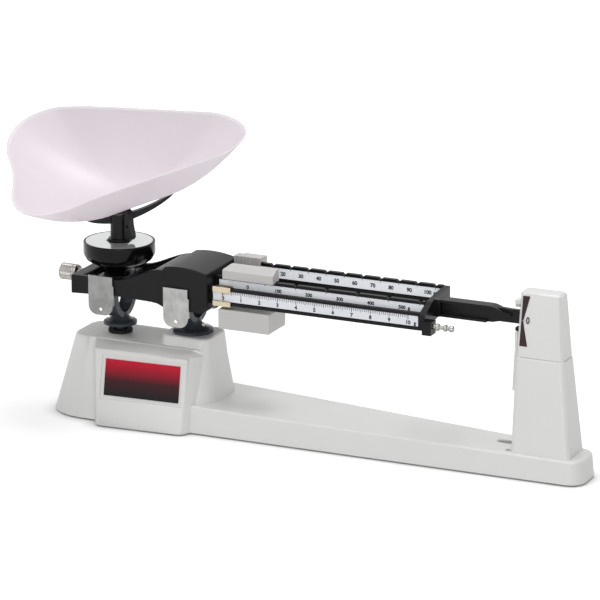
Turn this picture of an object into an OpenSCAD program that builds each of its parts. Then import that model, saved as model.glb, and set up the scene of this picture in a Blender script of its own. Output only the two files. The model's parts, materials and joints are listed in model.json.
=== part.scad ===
// Triple beam balance with scoop. X runs along the beam to the right, Y to the back, Z up.
// The origin is on the table, straight under the fulcrum knife.

/* [Base] */
// Left end of the pedestal from the fulcrum
base_left = 125; // [120:1:130]
// Right end of the base from the fulcrum
base_right = 366; // [360:1:374]
// Height of the casting rim above the table
rim_gap = 1.5; // [1:0.5:3]
// Wall thickness of the base casting
base_wall = 4; // [3:0.5:6]
// Height of the bar top at the fulcrum
bar_top_left = 25; // [23:0.5:28]
// Height of the bar top at the right end
bar_top_right = 20.8; // [19:0.2:22.8]
// Height of the pedestal top
pedestal_top = 70.5; // [68:0.5:72]
// Height of the raised seat under the fulcrum post
seat_top = 79.5; // [77:0.5:80]
// Diameter of a rubber foot
foot_d = 15; // [12:1:18]

/* [Label] */
// Width of the label plate
label_w = 69; // [60:1:72]
// Height of the label plate
label_h = 31.5; // [26:0.5:34]
// Thickness of the label plate
label_t = 0.8; // [0.5:0.1:1]

/* [Tower] */
// Left foot of the tower
tower_x0 = 302; // [300:0.5:303]
// Right foot of the tower
tower_x1 = 354; // [350:0.5:356]
// Height of the ledge between shell and cap
ledge_z = 100.5; // [96:0.5:104]
// Height of the tower top
tower_top = 154; // [152:0.5:158]
// Wall thickness of the tower
tower_wall = 2.6; // [2:0.2:3]
// Height of the middle of the pointer arm
arm_z = 130; // [129:0.5:131]
// Middle of the slot and of the pointer arm across the balance
arm_y = -2.5; // [-4:0.5:-1]
// Width of the pointer slot
slot_w = 8.5; // [8:0.5:10]
// Gap between the two beam stops
stop_gap = 17.5; // [17.5:0.5:19]

/* [Beam] */
// Height of both knife edges
knife_z = 118; // [117:0.5:119]
// Distance between the fulcrum knife and the load knife
knife_pitch = 70; // [66:1:74]
// Outside width of the beam casting, front face to rear face
beam_w = 61; // [60:1:64]
// Wall thickness of the beam casting
beam_wall = 5.5; // [4:0.5:7]
// Left face of the end plate
plate_x = 220.5; // [219.5:0.5:222]
// Thickness of the end plate
plate_t = 5.5; // [4:0.5:7]
// Depth of a beam rail
rail_w = 4; // [3:0.5:5]
// Top of the front beam
front_top = 129.8; // [129:0.2:130.6]
// Top of the middle beam
middle_top = 136.3; // [135.7:0.2:137.1]
// Top of the rear beam
rear_top = 140.3; // [139.3:0.2:141.3]
// Middle of the front beam
front_y = -26; // [-27:0.5:-25]
// Middle of the middle beam
middle_y = -14; // [-15:0.5:-13]
// Middle of the rear beam
rear_y = 24; // [23:0.5:25]
// Height of the pointer arm
arm_h = 14.5; // [13.5:0.5:15.5]
// Width of the pointer arm flanges
arm_w = 11; // [9:0.5:12]
// Height of the arm tip between the stops
tip_h = 11.5; // [10.5:0.5:11.5]

/* [Scales] */
// Notch pitch of the rear beam, one notch per 10 g
rear_pitch = 16.6; // [15.8:0.1:16.8]
// Notch pitch of the middle beam, one notch per 100 g
middle_pitch = 28.2; // [27:0.1:28.4]
// Scale length of one gram on the front beam
front_pitch = 16.9; // [16:0.1:16.9]
// Depth of a notch
notch_d = 2; // [1:0.25:3]

/* [Pan and hanger] */
// Diameter of the zero adjust knob
knob_d = 14.5; // [12:0.5:17]
// Diameter of the pan cup
cup_d = 62; // [56:1:66]
// Height of the cup rim
cup_top = 152; // [150:0.5:154]
// Diameter of the hanger flange
hanger_flange_d = 29; // [26:1:32]
// Diameter of the hanger stem
stem_d = 8; // [6:0.5:9]
// Diameter of the fulcrum post flange
post_flange_d = 35; // [32:1:38]
// Turn of the scoop and its cradle from the beam
scoop_turn = 30; // [10:1:50]
// Span of the cradle arms from tip to tip
cradle_span = 98; // [80:1:104]
// Length of the scoop
scoop_len = 206; // [190:1:215]
// Width of the scoop
scoop_w = 154.6; // [145:0.2:160]
// Depth of the scoop
scoop_d = 53.5; // [48:0.5:54]
// Wall thickness of the scoop
scoop_t = 1.8; // [1.2:0.2:2.4]

/* [Hidden] */
$fn = 40;
fit = 0.3;
eps = 0.01;

// Base plan: the front edge is nearly straight, the back edge draws in towards the tower.
bar_front = -39.2;
bar_front_rise = 0.0176;
bar_back = 43.3;
bar_back_draw = -0.0877;
bar_draft = 1.8;
bar_corner_r = 14;
pedestal_right = 35;
pedestal_half_w = 41;
pedestal_top_left = base_left - 19.5;
pedestal_top_right = 23.5;
pedestal_top_half_w = 25;
seat_x0 = -22;
seat_half_w = 20;

// Plane of the front panel that carries the label.
panel_mid_x = -28;
panel_y0 = -51;
panel_turn = 0.066;
panel_lean = 0.2;
panel_top = 65;
label_z = 43;
label_recess = 0.8;

// Tower
tower_base = bar_z(tower_x0);
tower_front = -28;
tower_back = 8;
ledge_front = -18.4;
ledge_back = 6.6;
cap_inset = 0.9;
top_front = -10.2;
top_back = 5.2;
ledge_x0 = 301.2;
ledge_x1 = ledge_x0 + 42.8;
top_x0 = 302.4;
top_x1 = top_x0 + 35.4;
collar_x = 296.4;
collar_z0 = 69;
stop_t = 3;
shelf_z = 88;
stop_z0 = arm_z - stop_gap / 2;
stop_z1 = arm_z + stop_gap / 2;

// Beam
hump_x0 = -22;
hump_x1 = 29.5;
hump_top = 144.4;
beam_left = -knife_pitch - 30;
cross_t = 10;
beam_front = -33;
beam_rear = beam_front + beam_w;
rail_h = 2.8;
low_rail_h = 2.2;
web_t = 1.6;
scale_t = 0.5;
scale_h = 9;
plate_x1 = plate_x + plate_t;
load_x = -knife_pitch;
knife_w = 5;
tip_x0 = 276;
vane_x1 = collar_x + 25.6;

// Poises at the zero mark
rear_tooth = 48;
middle_tooth = 75;
front_zero = 41.6;
rear_poise_l = 24.5;
rear_poise_x = rear_tooth - 18.5;
middle_poise_l = 47;
middle_poise_x = 38.5;
rider_l = 16.5;
rider_x = 33;
poise_wall = 2;

// Pedestal inside
link_z = 36;
ceiling_z = pedestal_top - base_wall;
stem_bore = stem_d + 4;
cup_socket_d = 9;
cup_socket_h = 16;
disc_t = 1.2;
cup_r = cup_d / 2;

function front_edge(x) = bar_front + bar_front_rise * x;
function back_edge(x) = bar_back + bar_back_draw * x;
function bar_z(x) = bar_top_left + (bar_top_right - bar_top_left) * x / base_right;
function panel_y(x, z) = panel_y0 + panel_turn * (x - panel_mid_x) + panel_lean * (z - rim_gap);
function mix(a, b, t) = a + (b - a) * t;
function arc(cx, cy, r, a0, a1, n = 6) =
  [for (i = [0:n]) [cx + r * cos(a0 + (a1 - a0) * i / n), cy + r * sin(a0 + (a1 - a0) * i / n)]];
// Rectangle with cut corners, counter-clockwise, dx and dy are the cut lengths.
function cut_rect(x0, x1, y0, y1, dx, dy) = [[x0 + dx, y0], [x1 - dx, y0], [x1, y0 + dy],
  [x1, y1 - dy], [x1 - dx, y1], [x0 + dx, y1], [x0, y1 - dy], [x0, y0 + dy]];
// Rectangle with elliptic corners, counter-clockwise, dx and dy are the corner radii.
function soft_rect(x0, x1, y0, y1, dx, dy, n = 5) = concat(
  [for (i = [0:n]) let (a = 90 * i / n) [x1 - dx + dx * sin(a), y0 + dy - dy * cos(a)]],
  [for (i = [0:n]) let (a = 90 * i / n) [x1 - dx + dx * cos(a), y1 - dy + dy * sin(a)]],
  [for (i = [0:n]) let (a = 90 * i / n) [x0 + dx - dx * sin(a), y1 - dy + dy * cos(a)]],
  [for (i = [0:n]) let (a = 90 * i / n) [x0 + dx - dx * cos(a), y0 + dy - dy * sin(a)]]);
function at_z(pts, z) = [for (p = pts) [p.x, p.y, z]];

// Solid between two rings with the same number of points, the lower ring counter-clockwise from above.
module loft(lower, upper) {
  n = len(lower);
  polyhedron(points = concat(lower, upper),
    faces = concat([[for (i = [0:n - 1]) i]], [[for (i = [n - 1:-1:0]) i + n]],
      [for (i = [0:n - 1]) [i, i + n, (i + 1) % n + n, (i + 1) % n]]));
}
// Box given by its two corners.
module block(a, b) {
  translate(a) cube(b - a);
}
// Profile in X and Z, extruded along Y from y0 to y1.
module along_y(y0, y1) {
  translate([0, y1, 0]) rotate([90, 0, 0]) linear_extrude(y1 - y0) children();
}
// Profile in Y and Z, extruded along X from x0 to x1.
module along_x(x0, x1) {
  translate([x0, 0, 0]) rotate([90, 0, 90]) linear_extrude(x1 - x0) children();
}
module rod_y(x, z, d, y0, y1) {
  translate([x, y0, z]) rotate([-90, 0, 0]) cylinder(d = d, h = y1 - y0);
}
module rod_x(y, z, d, x0, x1) {
  translate([x0, y, z]) rotate([0, 90, 0]) cylinder(d = d, h = x1 - x0);
}

// Plan of the bar at a given inset, with round corners at the right end.
function bar_plan(inset) = let (r = bar_corner_r - inset, x = base_right - inset,
    f = front_edge(base_right) + inset, b = back_edge(base_right) - inset)
  concat([[0, front_edge(0) + inset]], arc(x - r, f + r, r, -88, 0),
    arc(x - r, b - r, r, 0, 85), [[0, back_edge(0) - inset]]);
module pedestal(inset, z0, drop) {
  loft(at_z(soft_rect(-base_left + inset, pedestal_right - inset, -pedestal_half_w + inset,
      pedestal_half_w - inset, 36, 28), z0),
    at_z(soft_rect(-pedestal_top_left + inset, pedestal_top_right - inset, -pedestal_top_half_w + inset,
      pedestal_top_half_w - inset, 15, 14), pedestal_top - drop));
}
function panel_ring(z, x0, x1, deep, corner) = [[x0 - corner, deep, z], [x0, panel_y(x0, z), z],
  [x1, panel_y(x1, z), z], [x1 + corner * 0.6, deep, z]];
module panel(inset, z0, drop) {
  low = panel_ring(z0, -67 + inset, 11 - inset, -30, 15);
  top = panel_ring(panel_top - drop, -73 + inset, 12 - inset, -22, 13);
  translate([0, inset, 0]) {
    loft(low, top);
    loft(top, [[-86 + inset, -18, pedestal_top - 0.5 - drop], [-80 + inset, -26, pedestal_top - 0.5 - drop],
      [10 - inset, -26, pedestal_top - 0.5 - drop], [17 - inset, -18, pedestal_top - 0.5 - drop]]);
  }
}
// Turns a flat piece drawn in X and Y so that it lies on the front panel.
module on_panel(depth = 0) {
  translate([panel_mid_x, panel_y(panel_mid_x, label_z) + depth, label_z])
    rotate([0, 0, atan(panel_turn)]) rotate([90 - atan(panel_lean), 0, 0]) children();
}
foot_spots = [[-84, -25], [-84, 25], [344, front_edge(344) + 13], [344, back_edge(344) - 14]];
tower_screw_spots = [[312, -10.2], [334, -10.2]];
post_screw_spots = [[-9, 0], [9, 0]];

module base_casting() color("gainsboro") difference() {
  union() {
    loft(at_z(bar_plan(0), rim_gap), [for (p = bar_plan(bar_draft)) [p.x, p.y, bar_z(p.x)]]);
    pedestal(0, rim_gap, 0);
    panel(0, rim_gap, 0);
    loft(at_z(soft_rect(seat_x0 - 4, pedestal_top_right + 1.5, -seat_half_w - 3, seat_half_w + 3, 10, 10), pedestal_top - 10),
      at_z(soft_rect(seat_x0, pedestal_top_right, -seat_half_w, seat_half_w, 9, 9), seat_top));
  }
  difference() {
    union() {
      loft(at_z(bar_plan(base_wall), rim_gap - 1),
        [for (p = bar_plan(bar_draft + base_wall)) [p.x, p.y, bar_z(p.x) - base_wall]]);
      pedestal(base_wall, rim_gap - 1, base_wall);
      panel(base_wall, rim_gap - 1, base_wall);
    }
    // Bosses inside for the feet, the tower screws and the link bracket.
    for (p = foot_spots) translate([p.x, p.y, 4]) cylinder(d = foot_d + 3, h = 80);
    for (p = tower_screw_spots) translate([p.x, p.y, 8]) cylinder(d = 11, h = 20);
    // Cross ribs of the bar.
    for (x = [90, 150, 210, 270]) block([x, -60, 6], [x + 3, 60, 40]);
  }
  // Round window for the hanger stem, and screw holes.
  translate([load_x, 0, 30]) cylinder(d = 16, h = 60);
  for (p = tower_screw_spots) translate([p.x, p.y, 0]) cylinder(d = 4.4, h = 40);
  for (p = post_screw_spots) translate([p.x, p.y, 50]) cylinder(d = 4.4, h = 40);
  // Slot beside the tower foot.
  for (x = [-15.5, -9]) translate([tower_x0 + x, -2, 10]) cylinder(d = 9, h = 20);
  block([tower_x0 - 15.5, -6.5, 10], [tower_x0 - 9, 2.5, 30]);
  // Small window for the tab of the tower.
  block([tower_x0 - 4, -25, 10], [tower_x0 - 0.8, -21, 30]);
  // Shallow frame that holds the label.
  on_panel() translate([-(label_w + 7) / 2, -(label_h + 7) / 2, -label_recess]) cube([label_w + 7, label_h + 7, 9]);
}
module rubber_feet() color("dimgray")
  for (p = foot_spots) translate([p.x, p.y, 0]) cylinder(d = foot_d, h = 4);
module label_plate() color("firebrick")
  on_panel() translate([-label_w / 2, -label_h / 2, -label_recess]) cube([label_w, label_h, label_t]);

function tower_ring(t, inset) = cut_rect(mix(tower_x0, ledge_x0, t) + inset, mix(tower_x1, ledge_x1, t) - inset,
  mix(tower_front, ledge_front, t) + inset, mix(tower_back, ledge_back, t) - inset, 3, 3);
function cap_ring(t, inset) = cut_rect(mix(ledge_x0 + cap_inset, top_x0, t) + inset,
  mix(ledge_x1 - cap_inset, top_x1, t) - inset, mix(ledge_front + cap_inset, top_front, t) + inset,
  mix(ledge_back - cap_inset, top_back, t) - inset, 2.2, 2.2);
module tower_shell() color("gainsboro") difference() {
  union() {
    loft([for (p = tower_ring(0, 0)) [p.x, p.y, bar_z(p.x)]], at_z(tower_ring(1, 0), ledge_z));
    // Collar that frames the foot of the pointer slot.
    loft(at_z(cut_rect(collar_x, 306, arm_y - 9, arm_y + 7.5, 2, 2), collar_z0),
      at_z(cut_rect(collar_x, 306, arm_y - 6.8, arm_y + 6.8, 3.5, 3.5), ledge_z - 0.5));
    loft(at_z(cut_rect(collar_x, ledge_x0 + cap_inset - fit, arm_y - 6.8, arm_y + 6.8, 2.2, 3.5), ledge_z - 0.6),
      at_z(cut_rect(collar_x, ledge_x0 + cap_inset - fit, arm_y - 6, arm_y + 6, 2.2, 3.5), stop_z0 - stop_t));
  }
  difference() {
    loft(at_z(tower_ring(0, tower_wall), 10), at_z(tower_ring(1, tower_wall), ledge_z + 1));
    // Screw bosses and the bracket shelf stay solid.
    for (p = tower_screw_spots) translate([p.x, p.y, 0]) cylinder(d = 9, h = 34);
    for (p = tower_screw_spots) block([p.x - 1.5, -40, 0], [p.x + 1.5, 40, 34]);
    block([tower_x0 + 2, -40, shelf_z - 4], [tower_x1 - 12, 40, shelf_z]);
  }
  for (p = tower_screw_spots) translate([p.x, p.y, 0]) cylinder(d = 3.2, h = 31);
}
module tower_cap() color("gainsboro") difference() {
  union() {
    loft(at_z(cap_ring(0, 0), ledge_z), at_z(cap_ring(0.97, 0), mix(ledge_z, tower_top, 0.97)));
    loft(at_z(cap_ring(0.97, 0), mix(ledge_z, tower_top, 0.97)), at_z(cap_ring(1, 1.5), tower_top));
    // Lug over the arm tip.
    block([collar_x, arm_y - 4, stop_z1 + stop_t], [top_x0 + 1, arm_y + 4, stop_z1 + stop_t + 3]);
  }
  loft(at_z(cap_ring(0, tower_wall), ledge_z - 1),
    at_z(cap_ring(1, tower_wall), tower_top - tower_wall));
  // Pointer slot in the left wall.
  block([top_x0 - 6, arm_y - slot_w / 2, ledge_z - 1], [top_x0 + 6, arm_y + slot_w / 2, stop_z1 + stop_t]);
}
module tower_screws() color("silver")
  for (p = tower_screw_spots) translate([p.x, p.y, 5]) {
    cylinder(d = 7.5, h = 3);
    cylinder(d = 3.2, h = 26);
  }
module zero_dial() color("black") {
  h = 41.5;
  lean = atan((top_front - ledge_front - cap_inset) / (tower_top - ledge_z));
  translate([cap_x(arm_z) + 0.4, cap_front(arm_z), arm_z]) rotate([90 - lean, 0, 0]) linear_extrude(0.5)
    polygon([[-0.3, -h / 2], [6.4, -h / 2], [1.6, 0], [6.4, h / 2], [0.3, h / 2], [0, 0]]);
}
function cap_t(z) = (z - ledge_z) / (tower_top - ledge_z);
function cap_x(z) = mix(ledge_x0 + cap_inset, top_x0, cap_t(z)) + 2.2;
function cap_front(z) = mix(ledge_front + cap_inset, top_front, cap_t(z));
module lower_stop_pad() color("black")
  block([collar_x, arm_y - 3, stop_z0 - stop_t], [collar_x + 4, arm_y + 3, stop_z0]);
module upper_stop_pad() color("dimgray")
  block([collar_x, arm_y - 3, stop_z1], [collar_x + 4, arm_y + 3, stop_z1 + stop_t]);
module magnet_bracket() color("silver") difference() {
  block([vane_x1 - 14, arm_y - 5, shelf_z], [vane_x1 + 6, arm_y + 5, arm_z + 4]);
  block([vane_x1 - 15, arm_y - 4.2, shelf_z + 2], [vane_x1 + 7, arm_y + 4.2, arm_z + 5]);
}
module damper_magnets() color("dimgray")
  for (s = [-1, 1]) translate([vane_x1 - 4, arm_y + s * 3, arm_z - 3]) rotate([90, 0, 0])
    cylinder(d = 12, h = 2.4, center = true);

// Fork with two legs that rise as an arch from a flared flange, for the fulcrum post and the hanger.
module fork(x, flange_d, flange_z, leg_y, leg_x, leg_t, top, neck_z) {
  h = neck_z - flange_z;
  translate([x, 0, flange_z]) rotate_extrude() polygon(concat([[0, 0], [flange_d / 2, 0], [flange_d / 2, 2.2]],
    [for (i = [0:5]) let (a = 90 * i / 5)
      [mix(flange_d / 2 - 1.2, leg_x / 2 + 0.6, sin(a)), 3.2 + (h - 3.2) * (1 - cos(a))]], [[0, h]]));
  translate([x - leg_x / 2, 0, 0]) along_x(0, leg_x) polygon(concat(
    arch(leg_y + leg_t / 2, neck_z - 5, 21), [[leg_y + leg_t / 2, top], [leg_y - leg_t / 2, top]],
    [for (i = [16:-1:0]) arch(leg_y - leg_t / 2, neck_z - 0.5, 18)[i]],
    [[-leg_y + leg_t / 2, top], [-leg_y - leg_t / 2, top]]));
}
// Half ellipse open at the top, from -r to r, with its lowest point at z.
function arch(r, z, h) = [for (i = [0:16]) let (a = 180 + 180 * i / 16) [r * cos(a), z + h + h * sin(a)]];
// Row of V grooves along Y for a knife edge, open towards up (1) or down (-1).
module knife_vee(x, s, y0, y1, depth) {
  along_y(y0, y1) polygon([[x, knife_z], [x - depth, knife_z + s * depth * 1.3],
    [x + depth, knife_z + s * depth * 1.3]]);
}
post_leg_y = 18;
hanger_leg_y = 17.5;
leg_t = 6;
bearing_h = 5;
bearing_w = 8;
module fulcrum_post() color("slategray") difference() {
  fork(0, post_flange_d, seat_top, post_leg_y, 12, leg_t, knife_z + 3, seat_top + 13);
  for (s = [-1, 1]) block([-bearing_w / 2, s * post_leg_y - leg_t / 2 - 1, knife_z - bearing_h],
    [bearing_w / 2, s * post_leg_y + leg_t / 2 + 1, knife_z + 4]);
  for (p = post_screw_spots) translate([p.x, p.y, seat_top - 1]) cylinder(d = 3.2, h = 10);
}
module fulcrum_bearings() color("tan") for (s = [-1, 1]) difference() {
  block([-bearing_w / 2, s * post_leg_y - leg_t / 2, knife_z - bearing_h],
    [bearing_w / 2, s * post_leg_y + leg_t / 2, knife_z + 1]);
  translate([0, 0, -fit]) knife_vee(0, 1, -40, 40, 3);
}
module post_screws() color("silver") for (p = post_screw_spots) translate([p.x, p.y, 0]) {
  translate([0, 0, ceiling_z - 7]) cylinder(d = 7, h = 3);
  translate([0, 0, ceiling_z - 7]) cylinder(d = 3.2, h = seat_top + 8 - ceiling_z + 7);
}
module stem_bushing() color("black") translate([load_x, 0, 0]) difference() {
  union() {
    translate([0, 0, pedestal_top]) cylinder(d = 21, h = 3);
    translate([0, 0, pedestal_top - base_wall]) cylinder(d = 16, h = base_wall + eps);
  }
  translate([0, 0, pedestal_top - 10]) cylinder(d = stem_bore, h = 20);
}
// Check link under the pedestal top: it keeps the pan level.
module link_bracket() color("silver") difference() {
  union() {
    block([-9, -9, link_z - 8], [9, 9, ceiling_z]);
    block([-15, -9, ceiling_z - 4], [15, 9, ceiling_z]);
  }
  block([-10, -6, link_z - 9], [10, 6, ceiling_z - 4]);
  for (p = post_screw_spots) translate([p.x, p.y, 50]) cylinder(d = 4.4, h = 40);
  rod_y(0, link_z, 4, -10, 10);
}
module link_pin() color("gray") rod_y(0, link_z, 4, -10.5, 10.5);
module check_link() color("silver") difference() {
  union() {
    for (x = [0, load_x]) rod_y(x, link_z, 10, 3, 5.5);
    block([load_x, 3, link_z - 3.5], [0, 5.5, link_z + 3.5]);
    for (x = [0, load_x]) rod_y(x, link_z, 10, -5.5, -3);
    block([load_x, -5.5, link_z - 3.5], [0, -3, link_z + 3.5]);
    block([-40, -5.5, link_z - 2], [-30, 5.5, link_z + 2]);
  }
  rod_y(0, link_z, 4 + 2 * fit, -10, 10);
  rod_y(load_x, link_z, 4, -10, 10);
}
module stem_pin() color("gray") rod_y(load_x, link_z, 4, -6.5, 6.5);

// Side outline of the beam casting: straight arm, then the crowned hump.
function hump_line() = concat([[beam_left, knife_z + 8], [-66, knife_z + 8]], [for (i = [0:14]) let (t = i / 14)
    [mix(-60, -13, t), knife_z + 8 + (hump_top - knife_z - 12.6) * (3 * t * t - 2 * t * t * t)]],
  arc(4, hump_top - 90, 90, 99, 74, 10));
module beam_casting() color("black") difference() {
  {
    along_y(beam_front, beam_rear) polygon(concat([[beam_left, knife_z - 8], [-60, knife_z - 6],
      [-24, knife_z - 7]], [for (i = [0:6]) let (t = i / 6) [mix(-20, -7, t), knife_z - 7.4 - 4.1 * (3 * t * t - 2 * t * t * t)]],
      [[hump_x1 - 4, knife_z - 11.5], [hump_x1, knife_z - 8]], [for (i = [len(hump_line()) - 1:-1:0]) hump_line()[i]]));
  }
  // Window for the hanger.
  block([beam_left + cross_t, beam_front + beam_wall, 100], [hump_x0, beam_rear - beam_wall, 160]);
  // Hollow under the hump for the fulcrum post.
  block([hump_x0 - 1, beam_front + beam_wall, 100], [hump_x1 - 4, beam_rear - beam_wall, hump_top - 6.4]);
  // Knife seats, pressed through the side walls.
  for (x = [0, load_x]) knife_hole(x);
  rod_x(0, knife_z, 4, beam_left - 1, beam_left + 8);
}
module knife_hole(x) {
  s = x == 0 ? 1 : -1;
  along_y(-40, 40) knife_profile(x, s);
}
// Knife section with its edge on the pivot line, its body on the side s.
module knife_profile(x, s) {
  polygon([[x, knife_z], [x + knife_w / 2, knife_z + s * 4.5], [x + knife_w / 2, knife_z + s * 7],
    [x - knife_w / 2, knife_z + s * 7], [x - knife_w / 2, knife_z + s * 4.5]]);
}
module fulcrum_knife() color("silver") along_y(beam_front - 0.6, beam_rear + 0.6) knife_profile(0, 1);
module load_knife() color("silver") along_y(beam_front - 0.6, beam_rear + 0.6) knife_profile(load_x, -1);

// One beam: top rail, web, low rail. Notches are cut into the top rail.
module beam(y, top, bottom, pitch, first, count) {
  difference() {
    union() {
      block([hump_x1, y - rail_w / 2, top - rail_h], [plate_x, y + rail_w / 2, top]);
      block([hump_x1, y - web_t / 2, bottom], [plate_x, y + web_t / 2, top]);
      block([hump_x1, y - rail_w / 2, bottom], [plate_x, y + rail_w / 2, bottom + low_rail_h]);
    }
    for (i = [0:count - 1]) notch(first + i * pitch, y, top);
  }
}
module notch(x, y, top) {
  along_y(y - rail_w, y + rail_w)
    polygon([[x, top - notch_d], [x + notch_d, top + eps], [x - notch_d, top + eps]]);
}
low_line = 114.9;
module rear_beam() color("black") beam(rear_y, rear_top, rear_top - 18, rear_pitch, rear_tooth, 11);
module middle_beam() color("black") beam(middle_y, middle_top, middle_top - 17, middle_pitch, middle_tooth, 6);
module front_beam() color("black") beam(front_y, front_top, low_line, 20, 0, 0);
module scale_strip(y, top) {
  block([hump_x1 + 3, y - web_t / 2 - scale_t, top - rail_h - scale_h], [plate_x - 1, y - web_t / 2, top - rail_h]);
}
module rear_scale() color("aliceblue") scale_strip(rear_y, rear_top);
module middle_scale() color("aliceblue") scale_strip(middle_y, middle_top);
module front_scale() color("aliceblue") scale_strip(front_y, front_top);

plate_front = front_y - rail_w / 2;
plate_low = 115;
boss_low = 112.8;
boss_front = plate_front - 4.5;
boss_x1 = plate_x1 + 7;
pin_z = 119.6;
module end_plate() color("black") difference() {
  union() {
    along_x(plate_x, plate_x1) polygon([[rear_y + rail_w / 2, 121], [rear_y + rail_w / 2, rear_top - 0.6],
      [middle_y + rail_w / 2, middle_top - 0.3], [middle_y + 0.5, middle_top - 0.6], [middle_y - rail_w / 2, middle_top - 2.4], [plate_front + 2, front_top], [plate_front, front_top - 1.6],
      [plate_front, plate_low], [plate_front + 12, plate_low], [plate_front + 18, 118], [arm_y, 119.5]]);
    // Boss that holds the pin for the extra weight.
    block([plate_x1 - 1, boss_front, boss_low], [boss_x1, boss_front + 11, 124]);
    // Root of the pointer arm.
    block([plate_x1 - 1, arm_y - 6.2, arm_z - arm_h / 2], [plate_x1 + 5, arm_y + 6.2, arm_z + arm_h / 2]);
  }
  rod_x(boss_front + 5.5, pin_z, 3, boss_x1 - 6, boss_x1 + 1);
}
module pointer_arm() color("black") {
  x0 = plate_x1 + 5;
  top = arm_z + arm_h / 2;
  low = arm_z - arm_h / 2;
  // Web that narrows to the tip between the stops.
  along_y(arm_y - 2, arm_y + 2) polygon(concat([[x0, low], [tip_x0, low], [tip_x0 + 6, arm_z - tip_h / 2],
    [collar_x + 8, arm_z - tip_h / 2], [collar_x + 8, arm_z + tip_h / 2], [tip_x0 + 16, arm_z + tip_h / 2]], [[x0, top]]));
  block([x0, arm_y - arm_w / 2, low], [tip_x0 - 4, arm_y + arm_w / 2, low + 2.2]);
  // Top flange, with an end that sweeps down over the web.
  along_y(arm_y - arm_w / 2, arm_y + arm_w / 2) polygon(concat([[x0, top - 2.2], [x0, top]], [for (p = sweep(0)) p],
    [for (i = [10:-1:0]) sweep(1.8)[i]]));
}
// Falling end of the arm flange, from its top line down to the middle of the tip.
function sweep(drop) = [for (i = [0:10]) let (t = i / 10)
  [tip_x0 - 2 + 19 * t, arm_z + arm_h / 2 - drop - (arm_h / 2 - 2) * (3 * t * t - 2 * t * t * t)]];
module damper_vane() color("peru")
  block([collar_x + 8, arm_y - 0.8, arm_z - tip_h / 2 + 1], [vane_x1, arm_y + 0.8, arm_z + tip_h / 2 - 1]);

// Sheet cover over a knife end, with a round foot and a small hole.
cover_w = 23;
cover_t = 1.2;
module cover(x, s, top, low) {
  y0 = s > 0 ? beam_rear + 0.7 : beam_front - 0.7 - cover_t;
  difference() {
    union() {
      along_y(y0, y0 + cover_t) union() {
        translate([x - cover_w / 2, low + 8]) square([cover_w, top - low - 8]);
        translate([x - cover_w / 2 + 8, low]) square([cover_w - 16, 9]);
        for (q = [-1, 1]) translate([x + q * (cover_w / 2 - 8), low + 8]) circle(8);
      }
      // Return bend along the right edge, run on from the sheet so that both are one solid.
      block([x + cover_w / 2 - 1, y0, low + 9], [x + cover_w / 2 + cover_t, y0 + cover_t, top - 8]);
      block([x + cover_w / 2, s > 0 ? y0 - 0.7 : y0, low + 9], [x + cover_w / 2 + cover_t,
        s > 0 ? y0 + cover_t : y0 + cover_t + 0.7, top - 8]);
      // Two lugs that stand on the casting.
      for (q = [-1, 1]) block([x + q * 7 - 1.5, s > 0 ? beam_rear : beam_front - 0.7, knife_z - 5],
        [x + q * 7 + 1.5, s > 0 ? beam_rear + 0.7 : beam_front, knife_z + 4]);
    }
    rod_y(x, low + 5, 3, y0 - 1, y0 + 4);
  }
}
module front_fulcrum_cover() color("silver") cover(0.5, -1, knife_z + 8, knife_z - 26.2);
module rear_fulcrum_cover() color("silver") cover(0.5, 1, knife_z + 8, knife_z - 26.2);
module front_load_cover() color("silver") cover(load_x - 0.8, -1, knife_z + 10.5, knife_z - 24);
module rear_load_cover() color("silver") cover(load_x - 0.8, 1, knife_z + 10.5, knife_z - 24);

module weight_pin() color("silver") translate([boss_x1, boss_front + 5.5, pin_z]) rotate([0, 90, 0])
  rotate_extrude() polygon([[0, -6], [1.5, -6], [1.5, 0], [2.2, 0], [2.2, 2.6], [3, 3], [3, 5], [2.2, 5.8], [1.6, 6],
    [1.6, 9.2], [2.8, 10], [2.8, 12], [1.7, 12.8], [1.7, 14.2], [2.6, 15], [2.7, 16.4], [2.3, 17.8], [1.4, 18.4], [0, 18.6]]);
module zero_stud() color("silver") rod_x(0, knife_z, 4, beam_left - 22, beam_left + 6);
module zero_knob() color("silver") difference() {
  union() {
    rod_x(0, knife_z, knob_d, beam_left - 26.5, beam_left - 10);
    rod_x(0, knife_z, 9, beam_left - 10, beam_left - 5);
  }
  rod_x(0, knife_z, 4 + 2 * fit, beam_left - 24, beam_left);
  // Knurl flutes.
  for (a = [0:20:340]) let (r = knob_d / 2 + 0.1)
    translate([beam_left - 24.5, r * cos(a), knife_z + r * sin(a)]) rotate([0, 90, 0]) cylinder(d = 1.2, h = 12, $fn = 16);
}

hanger_flange_z = pedestal_top + 7.5;
fork_top = knife_z + 5.5;
module hanger_fork() color("slategray") difference() {
  union() {
    fork(load_x, hanger_flange_d, hanger_flange_z, hanger_leg_y, 12, leg_t, fork_top, hanger_flange_z + 11);
    block([load_x - 12, -hanger_leg_y - leg_t / 2, fork_top - 3], [load_x + 12, hanger_leg_y + leg_t / 2, fork_top]);
    // Stem through the pedestal.
    translate([load_x, 0, link_z - 8]) cylinder(d = stem_d, h = hanger_flange_z - link_z + 9);
  }
  for (s = [-1, 1]) block([load_x - bearing_w / 2, s * hanger_leg_y - leg_t / 2 - 1, knife_z - 9],
    [load_x + bearing_w / 2, s * hanger_leg_y + leg_t / 2 + 1, knife_z + 2.5]);
  // Flats and hole at the foot of the stem for the check link.
  for (s = [-1, 1]) block([load_x - 6, s > 0 ? 2.6 : -6, link_z - 9], [load_x + 6, s > 0 ? 6 : -2.6, link_z + 9]);
  rod_y(load_x, link_z, 5.2, -6, 6);
}
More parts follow.
